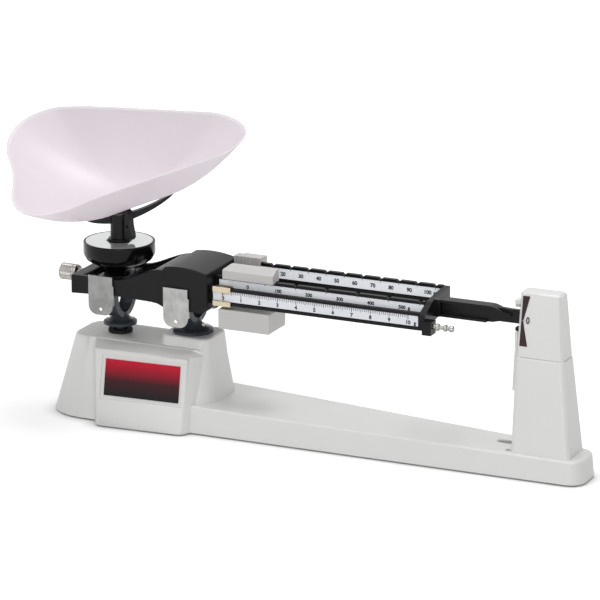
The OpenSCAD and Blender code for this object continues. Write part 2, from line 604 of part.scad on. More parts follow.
module load_bearings() color("tan") for (s = [-1, 1]) difference() {
  block([load_x - bearing_w / 2, s * hanger_leg_y - leg_t / 2, knife_z - 1],
    [load_x + bearing_w / 2, s * hanger_leg_y + leg_t / 2, knife_z + 2.5]);
  translate([0, 0, fit]) knife_vee(load_x, -1, -40, 40, 3);
}
module pan_cup() color("black") translate([load_x, 0, 0]) difference() {
  rotate_extrude($fn = 72) polygon([[0, fork_top], [13.5, fork_top], [14.2, fork_top + 3], [16, fork_top + 5.8], [20, fork_top + 8],
    [26, fork_top + 11.2], [28.5, fork_top + 13], [cup_r - 0.9, cup_top - 12.6], [cup_r, cup_top - 10.8], [cup_r, cup_top - 0.6], [cup_r - 0.6, cup_top], [cup_r - 1.8, cup_top],
    [cup_r - 1.8, cup_top - disc_t], [0, cup_top - disc_t]]);
  translate([0, 0, cup_top - cup_socket_h]) cylinder(d = cup_socket_d, h = cup_socket_h + 1);
}
module cup_disc() color("white") translate([load_x, 0, cup_top - disc_t]) difference() {
  cylinder(d = cup_d - 3.6 - 2 * fit, h = disc_t - 0.1, $fn = 72);
  translate([0, 0, -1]) cylinder(d = 22, h = 4);
}

module at_cradle() {
  translate([load_x, 0, 0]) rotate([0, 0, scoop_turn]) children();
}
module cradle_post() color("black") at_cradle() difference() {
  union() {
    translate([0, 0, cup_top - cup_socket_h + 1]) cylinder(d = cup_socket_d - 2 * fit, h = cup_socket_h);
    translate([0, 0, cup_top - disc_t + fit]) cylinder(d = 19, h = 3);
    translate([0, 0, cup_top]) cylinder(d = 15, h = 19);
    translate([0, 0, cup_top + 18]) cylinder(d = 8, h = 6.5);
  }
  translate([0, 0, cup_top + 14]) cylinder(d = 3, h = 12);
}
module cradle_clip() color("black") translate([load_x, 0, 0]) rotate([0, 0, -15]) difference() {
  translate([0, 3, 0]) along_y(-6, 0) union() {
    polygon(concat(arc(12.6, cup_top + 6, 4.2, 180, 380, 10), [[14.6, cup_top + 16], [14, cup_top + 24]],
      arc(9.5, cup_top + 25.4, 3.6, 0, 180, 8), [[5.9, cup_top + 24.4], [8.6, cup_top + 24.2], [8.6, cup_top + 8]]));
  }
  rod_y(11.8, cup_top + 14, 2.4, -8, 8);
}
arm_root_z = cup_top + 19;
cradle_pitch = 9;
arm_drop = 7;
// Height of the arm tops along the cradle, from the middle outwards.
function arm_top(x) = arm_root_z + 3.5 + tan(cradle_pitch) * x + 0.0045 * x * x
  + (x > 0 ? 1.8 * pow(2 * x / cradle_span, 2) : 12.9 * pow(max(0, (-2 * x / cradle_span - 0.37) / 0.63), 2.2));
module cradle_arms() color("black") at_cradle() difference() {
  union() {
    along_y(-3, 3) arm_profile();
    translate([0, 0, arm_root_z]) cylinder(d = 16.4, h = 5);
  }
  translate([0, 0, arm_root_z - 12]) cylinder(d = 15.2, h = 12);
  translate([0, 0, arm_root_z - 1]) cylinder(d = 8.1, h = 12);
}
module arm_profile() {
  n = 16;
  l = cradle_span / 2;
  xs = [for (i = [-n:n]) l * i / n];
  polygon(concat([for (x = xs) [x, arm_top(x)]],
    [for (i = [len(xs) - 2:-1:1]) let (x = xs[i]) [x, arm_top(x) - arm_drop * sqrt(1 - abs(x) / l)]]));
}

// Scoop: a rim with a narrow spout at one end and two round ears at the other, and a bowl under it.
rim_points = 56;
bowl_rings = 10;
scoop_pitch = 6.6;
scoop_roll = 20.35;
scoop_mid = [load_x + 2.4, -13, arm_root_z + 64.4];
ear_x = 0.237;
spout_x = 0.864;
spout_w = 0.439;
scoop_start = 0.449;
bowl_x = 0.5;
ear_dip = 6.7;
ear_sag = 13;
ear_round = 3.1;
bowl_fall = 2.2;
function scoop_half(t) = scoop_w / 2 * (t < ear_x
  ? pow(max(0, 1 - pow((ear_x - t) / ear_x, ear_round)), 1 / ear_round)
  : mix(1, spout_w, (t - ear_x) / (spout_x - ear_x)) * spout_end(t));
function spout_end(t) = t < spout_x ? 1 : sqrt(max(0, 1 - pow((t - spout_x) / (1 - spout_x), 2)));
// Rim point i: along the scoop, across it, and its sag at the wide end.
function rim_point(i) = let (a = 360 * i / rim_points, t = (1 - cos(a)) / 2,
    q = scoop_half(t) * (a < 180 ? 1 : -1), dip = t < 0.2 ? ear_dip * pow(max(0, 1 - pow(q / 40, 2)), 2) : 0)
  [scoop_len * (t - scoop_start) + dip, q, -ear_sag * pow(max(0, 1 - t / 0.45), 2)];
function bowl_point(k, i, up) =
  let (r = k / bowl_rings, c = scoop_len * (bowl_x - scoop_start), p = rim_point(i))
  [c + r * (p.x - c), r * p.y, p.z * r * r - scoop_d * (1 - pow(r, bowl_fall)) + up];
function bowl_layer(up) = concat([bowl_point(0, 0, up)],
  [for (k = [1:bowl_rings]) for (i = [0:rim_points - 1]) bowl_point(k, i, up)]);
function cell(k, i) = k == 0 ? 0 : 1 + (k - 1) * rim_points + i % rim_points;
module scoop() color("thistle") translate(scoop_mid)
  rotate([0, 0, scoop_turn]) rotate([0, -scoop_pitch, 0]) rotate([scoop_roll, 0, 0])
    let (m = 1 + bowl_rings * rim_points, n = rim_points - 1)
      polyhedron(points = concat(bowl_layer(0), bowl_layer(scoop_t)), faces = concat(
        [for (i = [0:n]) [0, cell(1, i), cell(1, i + 1)]],
        [for (i = [0:n]) [m, m + cell(1, i + 1), m + cell(1, i)]],
        [for (k = [1:bowl_rings - 1]) for (i = [0:n]) [cell(k, i), cell(k + 1, i), cell(k + 1, i + 1)]],
        [for (k = [1:bowl_rings - 1]) for (i = [0:n]) [cell(k, i), cell(k + 1, i + 1), cell(k, i + 1)]],
        [for (k = [1:bowl_rings - 1]) for (i = [0:n])
          [m + cell(k, i), m + cell(k + 1, i + 1), m + cell(k + 1, i)]],
        [for (k = [1:bowl_rings - 1]) for (i = [0:n])
          [m + cell(k, i), m + cell(k, i + 1), m + cell(k + 1, i + 1)]],
        [for (i = [0:n]) [cell(bowl_rings, i), m + cell(bowl_rings, i), m + cell(bowl_rings, i + 1),
          cell(bowl_rings, i + 1)]]));

// Brass rider: a sleeve on each rail, a back strap and a thin pointer.
module sleeve(y, z, h) {
  block([rider_x, y - rail_w / 2 - fit - 1, z - h / 2], [rider_x + rider_l, y + rail_w / 2 + fit + 1, z + h / 2]);
}
module front_rider() color("goldenrod") difference() {
  union() {
    sleeve(front_y, front_top - rail_h / 2, rail_h + 2 * fit + 1.4);
    sleeve(front_y, low_line + low_rail_h / 2, low_rail_h + 2 * fit + 1.4);
    block([rider_x + 3, front_y + rail_w / 2 + fit, low_line], [rider_x + 13, front_y + rail_w / 2 + fit + 1.3, front_top]);
    block([front_zero - 0.35, front_y - rail_w / 2 - fit - 1.2, low_line],
      [front_zero + 0.35, front_y - rail_w / 2 - fit - 0.2, front_top]);
  }
  block([rider_x - 1, front_y - rail_w / 2 - fit, low_line - fit],
    [rider_x + rider_l + 1, front_y + rail_w / 2 + fit, front_top + fit]);
}
// Middle poise: saddle on the rail, strap behind the beam, weight below.
low_block_top = boss_low - 1.3;
module middle_poise() color("whitesmoke") {
  x0 = middle_poise_x;
  x1 = x0 + middle_poise_l;
  y0 = middle_y - rail_w / 2 - fit;
  y1 = middle_y + rail_w / 2 + fit;
  z = middle_top + fit;
  difference() {
    along_x(x0, x1) polygon([[y0 - 5.5, middle_top - 0.6], [y0 - 5.5, middle_top + 6.9], [y0 + 2, middle_top + 10.7],
      [y1 + 2.2, middle_top + 10.7], [y1 + 2.2, z], [y0, z], [y0, middle_top - 0.6]]);
    // Cut corner at the left end.
    along_y(y0 - 9, y1 + 9) polygon([[x0 - 1, middle_top + 6.7], [x0 + 5, middle_top + 11.7], [x0 - 1, middle_top + 11.7]]);
  }
  block([x0 + 6, y1 + 0.2, low_block_top - 2], [x0 + 24, y1 + 2.2, z + 3]);
  difference() {
    block([x0, -30, 94.6], [x1, 3, low_block_top]);
    translate([x0 + middle_poise_l / 2, -13.5, 90]) cylinder(d = 14, h = 12);
  }
}
module middle_plug() color("silver")
  translate([middle_poise_x + middle_poise_l / 2, -13.5, 95.2]) cylinder(d = 14, h = 6.8);
module rear_poise() color("whitesmoke") {
  x0 = rear_poise_x;
  x1 = x0 + rear_poise_l;
  y0 = rear_y - rail_w / 2 - fit;
  y1 = rear_y + rail_w / 2 + fit;
  z = rear_top + fit;
  difference() {
    union() {
      block([x0, y0 - poise_wall, 132], [x1, y1 + 3, z + 4]);
      block([x0 + 2, y1, 110], [x1 - 2, y1 + 12, z + 2]);
    }
    block([x0 - 1, y0, 100], [x1 + 1, y1, z]);
    for (i = [0:5]) block([x0 + 2.3 + i * 3.6, y0 - poise_wall - 1, 131], [x0 + 3.9 + i * 3.6, y0 - poise_wall + 0.6, z + 7]);
    translate([x0 + rear_poise_l / 2, y1 + 6.5, 105]) cylinder(d = 8, h = 12);
  }
}
module rear_plug() color("silver")
  translate([rear_poise_x + rear_poise_l / 2, rear_y + rail_w / 2 + fit + 6.5, 110.6]) cylinder(d = 8, h = 6.4);

base_casting();
rubber_feet();
tower_shell();
tower_cap();
tower_screws();
zero_dial();
upper_stop_pad();
lower_stop_pad();
magnet_bracket();
damper_magnets();
fulcrum_post();
fulcrum_bearings();
post_screws();
stem_bushing();
link_bracket();
link_pin();
label_plate();
check_link();
stem_pin();
beam_casting();
rear_beam();
middle_beam();
front_beam();
rear_scale();
middle_scale();
front_scale();
end_plate();
pointer_arm();
damper_vane();
fulcrum_knife();
load_knife();
front_fulcrum_cover();
rear_fulcrum_cover();
front_load_cover();
rear_load_cover();
weight_pin();
zero_stud();
zero_knob();
hanger_fork();
load_bearings();
pan_cup();
cup_disc();
cradle_post();
cradle_clip();
cradle_arms();
scoop();
front_rider();
middle_poise();
middle_plug();
rear_poise();
rear_plug();
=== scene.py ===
import json
import math
import bmesh
import bpy
import numpy as np
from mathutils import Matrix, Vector
from mathutils.bvhtree import BVHTree

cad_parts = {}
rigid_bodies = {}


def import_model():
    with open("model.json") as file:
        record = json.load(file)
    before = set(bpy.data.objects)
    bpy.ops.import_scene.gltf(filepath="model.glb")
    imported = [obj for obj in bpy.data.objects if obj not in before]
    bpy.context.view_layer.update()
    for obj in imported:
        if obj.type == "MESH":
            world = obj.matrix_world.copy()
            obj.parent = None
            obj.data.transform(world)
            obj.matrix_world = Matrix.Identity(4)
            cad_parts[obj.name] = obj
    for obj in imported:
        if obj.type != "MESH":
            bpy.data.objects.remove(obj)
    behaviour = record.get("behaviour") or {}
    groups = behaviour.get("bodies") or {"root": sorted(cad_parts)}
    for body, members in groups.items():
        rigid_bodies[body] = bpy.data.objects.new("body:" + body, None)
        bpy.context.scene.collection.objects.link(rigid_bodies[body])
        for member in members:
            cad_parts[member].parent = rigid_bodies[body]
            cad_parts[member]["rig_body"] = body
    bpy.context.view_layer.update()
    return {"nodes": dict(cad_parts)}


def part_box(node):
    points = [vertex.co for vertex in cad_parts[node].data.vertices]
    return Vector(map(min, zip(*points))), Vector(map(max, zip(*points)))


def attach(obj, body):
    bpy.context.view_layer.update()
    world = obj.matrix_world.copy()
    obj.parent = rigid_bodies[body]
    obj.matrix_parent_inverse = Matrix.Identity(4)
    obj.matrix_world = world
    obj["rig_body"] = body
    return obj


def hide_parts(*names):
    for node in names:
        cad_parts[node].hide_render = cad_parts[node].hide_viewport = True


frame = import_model()
nodes = frame["nodes"]
mm = 0.001
print("frame loaded:", len(nodes), "nodes")


# Camera and light

view = {"azimuth": 24.7, "elevation": 16.3, "distance": 3080 * mm, "focalPixels": 3577.0,
        "originPixel": (194.0, 419.0), "frame": 600, "sensor": 36.0}
light = {"world": 0.40, "key": 8.0, "fill": 8.0, "top": 15.5}

az, el = math.radians(view["azimuth"]), math.radians(view["elevation"])
back = Vector((math.sin(az) * math.cos(el), -math.cos(az) * math.cos(el), math.sin(el)))
right = Vector((math.cos(az), math.sin(az), 0.0))
up = back.cross(right)
perPixel = view["distance"] / view["focalPixels"]
half = view["frame"] / 2
cameraData = bpy.data.cameras.new("camera")
cameraData.sensor_width = view["sensor"]
cameraData.lens = view["focalPixels"] * view["sensor"] / view["frame"]
cameraData.clip_end = 60.0
camera = bpy.data.objects.new("camera", cameraData)
bpy.context.scene.collection.objects.link(camera)
camera.location = (back * view["distance"] - right * (view["originPixel"][0] - half) * perPixel
                   + up * (view["originPixel"][1] - half) * perPixel)
camera.rotation_euler = back.to_track_quat("Z", "Y").to_euler()
bpy.context.scene.camera = camera
bpy.context.scene.view_settings.view_transform = "Standard"


def softLamp(name, place, aim, size, watts):
    data = bpy.data.lights.new(name, "AREA")
    data.shape, data.size, data.energy = "DISK", size, watts
    lamp = bpy.data.objects.new(name, data)
    bpy.context.scene.collection.objects.link(lamp)
    lamp.location = place
    lamp.rotation_euler = (Vector(place) - Vector(aim)).to_track_quat("Z", "Y").to_euler()


softLamp("keyLamp", (-0.9, -1.2, 1.7), (0.1, 0, 0.1), 1.1, light["key"])
softLamp("fillLamp", (0.9, -1.8, 0.45), (0.1, 0, 0.12), 0.9, light["fill"])
softLamp("topLamp", (0.15, 0.1, 1.9), (0.1, 0, 0.1), 1.0, light["top"])


# Shader maths as expressions on sockets

class Field:
    def __init__(self, tree, socket):
        self.tree, self.socket = tree, socket

    def math(self, operation, first, second):
        return self.node("ShaderNodeMath", {"operation": operation}, {0: first, 1: second})

    def node(self, kind, settings=None, inputs=None, output=0):
        made = self.tree.nodes.new(kind)
        for key, value in (settings or {}).items():
            if key == "stops":
                for i, (place, colour) in enumerate(value):
                    stop = made.color_ramp.elements[i] if i < 2 else made.color_ramp.elements.new(place)
                    stop.position, stop.color = place, colour
            else:
                setattr(made, key, value)
        for key, value in (inputs or {}).items():
            if isinstance(value, Field):
                self.tree.links.new(value.socket, made.inputs[key])
            elif value is not None:
                made.inputs[key].default_value = value
        return Field(self.tree, made.outputs[output])

    def __add__(self, other): return self.math("ADD", self, other)
    def __radd__(self, other): return self.math("ADD", other, self)
    def __sub__(self, other): return self.math("SUBTRACT", self, other)
    def __rsub__(self, other): return self.math("SUBTRACT", other, self)
    def __mul__(self, other): return self.math("MULTIPLY", self, other)
    def __rmul__(self, other): return self.math("MULTIPLY", other, self)


def newMaterial(name):
    material = bpy.data.materials.new(name)
    material.use_nodes = True
    tree = material.node_tree
    shader = tree.nodes["Principled BSDF"]
    place = Field(tree, tree.nodes.new("ShaderNodeTexCoord").outputs["Object"])
    return material, tree, shader, place


# Two noises, a fine grain and a broad blotch: both mix colour and dark, and the grain moves roughness and bump.
def finish(name, colour, dark, rough, roughSpread=0.08, metal=0.0, grain=220.0, bump=0.12, stretch=(1, 1, 1),
           blotch=18.0, coat=0.0, constants=None):
    material, tree, shader, place = newMaterial(name)
    drawn = place.node("ShaderNodeMapping", None, {"Vector": place, "Scale": stretch})
    fine = place.node("ShaderNodeTexNoise", None, {"Vector": drawn, "Scale": grain, "Detail": 3.0, "Roughness": 0.6})
    broad = place.node("ShaderNodeTexNoise", None, {"Vector": place, "Scale": blotch, "Detail": 2.0})
    share = fine * 0.35 + broad * 0.65
    mixed = place.node("ShaderNodeMix", {"data_type": "RGBA"}, {0: share, 6: (*dark, 1), 7: (*colour, 1)}, 2)
    uneven = rough - roughSpread * 0.5 + roughSpread * fine
    raised = place.node("ShaderNodeBump", None, {"Height": fine, "Strength": bump, "Distance": 0.2 * mm})
    for socket, field in (("Base Color", mixed), ("Roughness", uneven), ("Normal", raised)):
        tree.links.new(field.socket, shader.inputs[socket])
    shader.inputs["Metallic"].default_value = metal
    shader.inputs["Coat Weight"].default_value = coat
    for key, value in (constants or {}).items():
        shader.inputs[key].default_value = value
    return material


dull = {"Specular IOR Level": 0.16}
# Painted light: the rear and middle strips get a faint glow of their own, which fills in the shade that the beams in
# front of them cast.
paintedStripLight = {"Emission Color": (0.88, 0.92, 1.0, 1), "Emission Strength": 0.17}
throughLight = {"Subsurface Weight": 0.7, "Subsurface Radius": (1.0, 0.9, 0.95), "Subsurface Scale": 0.006}
looks = {
    "castEnamel": ((0.77, 0.77, 0.755), (0.725, 0.725, 0.71), 0.42, {"grain": 900, "bump": 0.10, "coat": 0.1}),
    "blackEnamel": ((0.009, 0.009, 0.010), (0.004, 0.004, 0.005), 0.34,
                    {"roughSpread": 0.14, "grain": 1300, "bump": 0.22, "constants": dull}),
    "forkEnamel": ((0.065, 0.074, 0.090), (0.024, 0.028, 0.035), 0.26,
                   {"roughSpread": 0.1, "grain": 700, "bump": 0.15, "constants": dull}),
    "cupEnamel": ((0.006, 0.006, 0.007), (0.003, 0.003, 0.003), 0.14,
                  {"roughSpread": 0.06, "grain": 500, "bump": 0.04, "constants": dull}),
    "sheetSteel": ((0.52, 0.52, 0.505), (0.16, 0.16, 0.155), 0.34,
                   {"roughSpread": 0.25, "metal": 1.0, "grain": 620, "bump": 0.25, "stretch": (1, 1, 0.4), "blotch": 90}),
    "turnedSteel": ((0.50, 0.48, 0.45), (0.22, 0.21, 0.20), 0.26,
                    {"roughSpread": 0.14, "metal": 1.0, "grain": 900, "bump": 0.08, "stretch": (0.1, 1, 1), "blotch": 160}),
    # Painted shade: a darker copy of sheetSteel, so that the load covers come out darker than the fulcrum covers.
    "shadedCoverSteel": ((0.36, 0.36, 0.355), (0.10, 0.10, 0.10), 0.36,
                   {"roughSpread": 0.25, "metal": 1.0, "grain": 620, "bump": 0.25, "stretch": (1, 1, 0.4), "blotch": 90}),
    "poiseEnamel": ((0.59, 0.58, 0.565), (0.53, 0.52, 0.51), 0.38, {"grain": 800, "bump": 0.08, "coat": 0.1}),
    "riderBrass": ((0.66, 0.58, 0.44), (0.36, 0.30, 0.20), 0.24,
                   {"roughSpread": 0.12, "metal": 1.0, "grain": 700, "bump": 0.08, "stretch": (0.08, 1, 1), "blotch": 120}),
    "scaleStrip": ((0.86, 0.88, 0.92), (0.80, 0.82, 0.87), 0.40, {"roughSpread": 0.06, "grain": 1500, "bump": 0.05}),
    # painted light: a brighter, glowing copy of scaleStrip for the rear and middle strips
    "innerStripPaintedLight": ((0.93, 0.95, 0.98), (0.88, 0.90, 0.94), 0.40,
                   {"roughSpread": 0.06, "grain": 1500, "bump": 0.05, "constants": paintedStripLight}),
    "scaleInk": ((0.010, 0.010, 0.014), (0.018, 0.018, 0.024), 0.5, {"grain": 1500, "bump": 0.02, "constants": dull}),
    "agate": ((0.50, 0.34, 0.24), (0.22, 0.13, 0.10), 0.15,
              {"roughSpread": 0.05, "grain": 260, "bump": 0.02, "blotch": 120}),
    "blackRubber": ((0.018, 0.018, 0.018), (0.010, 0.010, 0.010), 0.7,
                    {"roughSpread": 0.1, "grain": 600, "bump": 0.2, "constants": dull}),
    "cupLiner": ((0.95, 0.97, 0.97), (0.88, 0.90, 0.90), 0.16,
                 {"roughSpread": 0.06, "metal": 0.55, "grain": 500, "bump": 0.04, "blotch": 40}),
    "dialInk": ((0.050, 0.030, 0.030), (0.028, 0.017, 0.017), 0.4, {"grain": 900, "bump": 0.02, "constants": dull}),
    "copperStrip": ((0.75, 0.42, 0.27), (0.5, 0.26, 0.17), 0.32,
                    {"roughSpread": 0.1, "metal": 1.0, "grain": 500, "bump": 0.05, "stretch": (0.1, 1, 1)}),
    "ferrite": ((0.06, 0.06, 0.065), (0.03, 0.03, 0.035), 0.55, {"grain": 900, "bump": 0.2}),
    "scoopMoulding": ((0.79, 0.705, 0.765), (0.74, 0.655, 0.715), 0.42,
                      {"grain": 160, "bump": 0.03, "blotch": 14, "constants": throughLight}),
}
materials = {name: finish(name, colour, dark, rough, **rest) for name, (colour, dark, rough, rest) in looks.items()}

labelPlate = {"low": 28.2, "high": 58.0, "red": (0.56, 0.012, 0.035, 1), "deepRed": (0.30, 0.010, 0.025, 1),
              "darkRed": (0.050, 0.010, 0.014, 1), "black": (0.012, 0.010, 0.012, 1)}


# A bare plate: red at its top runs down into black with the height, and a fine mottle breaks the run.
def labelEnamel():
    material, tree, shader, place = newMaterial("labelEnamel")
    z = place.node("ShaderNodeSeparateXYZ", None, {0: place}, 2)
    fine = place.node("ShaderNodeTexNoise", None, {"Vector": place, "Scale": 1400.0})
    tall = labelPlate["high"] - labelPlate["low"]
    height = (z - labelPlate["low"] * mm) * (1 / (tall * mm)) + 0.03 * fine
    stops = [(0.08, labelPlate["black"]), (1.0, labelPlate["red"]),
             (0.45, labelPlate["darkRed"]), (0.72, labelPlate["deepRed"])]
    run = place.node("ShaderNodeValToRGB", {"stops": stops}, {0: height})
    raised = place.node("ShaderNodeBump", None, {"Height": fine, "Strength": 0.05, "Distance": 0.0001})
    tree.links.new(run.socket, shader.inputs["Base Color"])
    tree.links.new((0.26 + 0.06 * fine).socket, shader.inputs["Roughness"])
    tree.links.new(raised.socket, shader.inputs["Normal"])
    shader.inputs["Specular IOR Level"].default_value = dull["Specular IOR Level"]
    return material


materials["labelEnamel"] = labelEnamel()
print("materials ready:", len(materials))


# Making pieces

sharpAngle = 32

def putPiece(name, points, faces, material, body, stands=(), smooth=True):
    mesh = bpy.data.meshes.new(name)
    mesh.from_pydata([tuple(p) for p in points], [], [tuple(f) for f in faces])
    mesh.materials.append(materials[material])
    mesh.polygons.foreach_set("use_smooth", [smooth] * len(mesh.polygons))
    piece = bpy.data.objects.new(name, mesh)
    bpy.context.scene.collection.objects.link(piece)
    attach(piece, body)
    if stands:
        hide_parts(*stands)
    return piece


# Quads between neighbouring grid points, row by row; the last column joins the first.
def gridFaces(rows, columns):
    a, b = np.meshgrid(np.arange(rows - 1), np.arange(columns), indexing="ij")
    after = (b + 1) % columns
    corners = [a * columns + b, a * columns + after, (a + 1) * columns + after, (a + 1) * columns + b]
    return np.stack(corners, -1).reshape(-1, 4)


# Merges the doubled points at poles and seams, then turns every face outwards.
def sewn(piece, distance=0.01 * mm):
    bm = bmesh.new()
    bm.from_mesh(piece.data)
    bmesh.ops.remove_doubles(bm, verts=bm.verts, dist=distance)
    bmesh.ops.dissolve_degenerate(bm, edges=bm.edges, dist=distance)
    bmesh.ops.recalc_face_normals(bm, faces=bm.faces)
    bm.to_mesh(piece.data)
    bm.free()
    return piece


# Edges that turn by more than the angle stay sharp in the shading.
def sharpen(mesh, degrees):
    bm = bmesh.new()
    bm.from_mesh(mesh)
    for edge in bm.edges:
        edge.smooth = len(edge.link_faces) == 2 and edge.calc_face_angle(0) < math.radians(degrees)
    bm.to_mesh(mesh)
    bm.free()


# A profile of (distance along X, radius) carried round the X axis; ripple(angle, along) changes the radius off the axis.
def turned(name, profile, centre, material, body, stands, sides, ripple):
    along, radius = np.array(profile, float).T
    angle = np.linspace(0, 2 * np.pi, sides, endpoint=False)
    x, turn = np.meshgrid(along, angle, indexing="ij")
    away = np.repeat(radius[:, None], sides, 1)
    away = np.maximum(away + (away > 0) * ripple(turn, x), 0)
    points = np.stack([x, away * np.cos(turn), away * np.sin(turn)], -1).reshape(-1, 3) + np.array(centre)
    piece = sewn(putPiece(name, points * mm, gridFaces(len(along), sides), material, body, stands))
    sharpen(piece.data, sharpAngle)
    return piece


# Gives bevel weight to the sharp convex edges that face the open air and have room for the width at both ends.
def markOuter(bm, width):
    walls = BVHTree.FromBMesh(bm)
    weight = bm.edges.layers.float.new("bevel_weight_edge")
    chosen = set()
    for edge in bm.edges:
        if len(edge.link_faces) != 2 or not edge.is_convex or edge.calc_face_angle(0) < math.radians(sharpAngle):
            continue
        normals = [face.normal for face in edge.link_faces]
        away = (normals[0] + normals[1]).normalized()
        middle = (edge.verts[0].co + edge.verts[1].co) / 2
        if min(n.z for n in normals) > -0.3 and walls.ray_cast(middle + away * 0.6 * mm, away)[0] is None:
            chosen.add(edge)
    for edge in [e for e in bm.edges if e in chosen]:
        for vert in edge.verts:
            others = [e for e in vert.link_edges if e is not edge]
            short = [e for e in others if e not in chosen and e.calc_length() < width * 1.1]
            if short or (len([e for e in others if e in chosen]) > 1 and edge.calc_length() < width * 2.2):
                chosen.discard(edge)
    for edge in chosen:
        edge[weight] = 1.0


# The node's own faces, merged, with the sharp edges rounded by a bevel as a casting or a sheet has them. Flat faces that
# look along keep aren't merged, and outer rounds only the edges that markOuter chooses.
def softened(node, material, width, segments=2, keep=None, outer=False):
    piece = bpy.data.objects.new(node + "Soft", nodes[node].data.copy())
    bpy.context.scene.collection.objects.link(piece)
    bm = bmesh.new()
    bm.from_mesh(piece.data)
    bmesh.ops.remove_doubles(bm, verts=bm.verts, dist=0.004 * mm)
    edges, verts = list(bm.edges), list(bm.verts)
    if keep:
        edges = [e for e in edges if not all(f.normal.dot(Vector(keep)) > 0.999 for f in e.link_faces)]
        free = set(edges)
        verts = [v for v in verts if all(e in free for e in v.link_edges)]
    bmesh.ops.dissolve_limit(bm, angle_limit=math.radians(0.4), verts=verts, edges=edges)
    for face in bm.faces:
        face.smooth = True
    if outer:
        markOuter(bm, width * mm)
    bm.to_mesh(piece.data)
    bm.free()
    sharpen(piece.data, sharpAngle)
    piece.data.materials.clear()
    piece.data.materials.append(materials[material])
    bevel = piece.modifiers.new("edges", "BEVEL")
    bevel.width, bevel.segments, bevel.limit_method = width * mm, segments, "WEIGHT" if outer else "ANGLE"
    bevel.angle_limit = math.radians(sharpAngle)
    bevel.harden_normals = True
    bevel.use_clamp_overlap = not outer
    bevel.miter_outer = "MITER_ARC"
    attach(piece, nodes[node]["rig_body"])
    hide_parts(node)


# Corner points and faces of many boxes at once, each given by its lowest and highest corner.
def boxes(lows, highs):
    lows, highs = np.asarray(lows, float), np.asarray(highs, float)
    pick = np.array([[0, 0, 0], [1, 0, 0], [1, 1, 0], [0, 1, 0], [0, 0, 1], [1, 0, 1], [1, 1, 1], [0, 1, 1]])
    points = lows[:, None, :] + (highs - lows)[:, None, :] * pick[None]
    quads = np.array([[0, 3, 2, 1], [4, 5, 6, 7], [0, 1, 5, 4], [1, 2, 6, 5], [2, 3, 7, 6], [3, 0, 4, 7]])
    faces = (quads[None] + 8 * np.arange(len(lows))[:, None, None]).reshape(-1, 4)
    return points.reshape(-1, 3), faces


# Numbers as flat meshes: (text, middle point in millimetres) each, facing the front, joined into one piece. The bevel
# thickens the strokes, lean(points) reshapes them, and the depth is pressed flat.
def printedWords(name, words, body, size, lean=None, weight=0.045):
    points, faces, count = [], [], 0
    for text, middle in words:
        curve = bpy.data.curves.new(name + text, "FONT")
        curve.body, curve.size, curve.align_x, curve.align_y = text, size * mm, "CENTER", "CENTER"
        curve.bevel_depth, curve.bevel_resolution = weight * size * mm, 0
        holder = bpy.data.objects.new(name + text, curve)
        bpy.context.scene.collection.objects.link(holder)
        bpy.context.view_layer.update()
        mesh = bpy.data.meshes.new_from_object(holder.evaluated_get(bpy.context.evaluated_depsgraph_get()))
        flat = np.array([v.co for v in mesh.vertices])
        placed = np.stack([flat[:, 0], flat[:, 2] * -0.2, flat[:, 1]], -1)
        if lean:
            placed = lean(placed)
        points.append(placed + np.array(middle) * mm)
        faces += [tuple(i + count for i in p.vertices) for p in mesh.polygons]
        count += len(flat)
        bpy.data.objects.remove(holder)
        bpy.data.meshes.remove(mesh)
    putPiece(name, np.concatenate(points), faces, "scaleInk", body, smooth=False)


# Base and tower

housing = {"baseEdge": 2.2, "towerEdge": 1.8, "capEdge": 2.0, "panelFront": (0.0646, -0.9785, 0.1957)}
softened("base_casting", "castEnamel", housing["baseEdge"], 3, keep=housing["panelFront"], outer=True)
softened("tower_shell", "castEnamel", housing["towerEdge"], 3, outer=True)
softened("tower_cap", "castEnamel", housing["capEdge"], 3)
for node, material, width in (
        ("rubber_feet", "blackRubber", 0.6), ("tower_screws", "turnedSteel", 0.3), ("zero_dial", "dialInk", 0.1),
        ("upper_stop_pad", "turnedSteel", 0.5), ("lower_stop_pad", "blackRubber", 0.4), ("magnet_bracket", "sheetSteel", 0.3),
        ("damper_magnets", "ferrite", 0.4), ("fulcrum_bearings", "agate", 0.3), ("post_screws", "turnedSteel", 0.3),
        ("stem_bushing", "blackRubber", 0.5), ("link_bracket", "sheetSteel", 0.5), ("link_pin", "turnedSteel", 0.4),
        ("label_plate", "labelEnamel", 0.2), ("check_link", "sheetSteel", 0.3), ("stem_pin", "turnedSteel", 0.4)):
    softened(node, material, width)

dial = {"digit": 7.6, "digitX": 310.6, "z": 130.6, "slope": 0.136, "narrow": 0.8, "weight": 0.02,
        "lineLength": 4.2, "lineHeight": 0.8}
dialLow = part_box("zero_dial")[0]
digitY = dialLow.y / mm + (dial["z"] - dialLow.z / mm) * dial["slope"] - 0.1


# The dial's face leans back with the height, and its digit is a little narrow.
def onDial(p):
    return np.stack([p[:, 0] * dial["narrow"], p[:, 1] + p[:, 2] * dial["slope"], p[:, 2]], -1)


printedWords("dialZero", [("0", (dial["digitX"], digitY, dial["z"]))], "base", dial["digit"], onDial, dial["weight"])
lineLow = (dialLow.x / mm, digitY + 0.05, dial["z"] - 1.0)
lineHigh = (dialLow.x / mm + dial["lineLength"], digitY + 0.3, dial["z"] - 1.0 + dial["lineHeight"])
points, faces = boxes([lineLow], [lineHigh])
putPiece("dialLine", points * mm, faces, "poiseEnamel", "base", smooth=False)
print("base and tower done")


# Beam

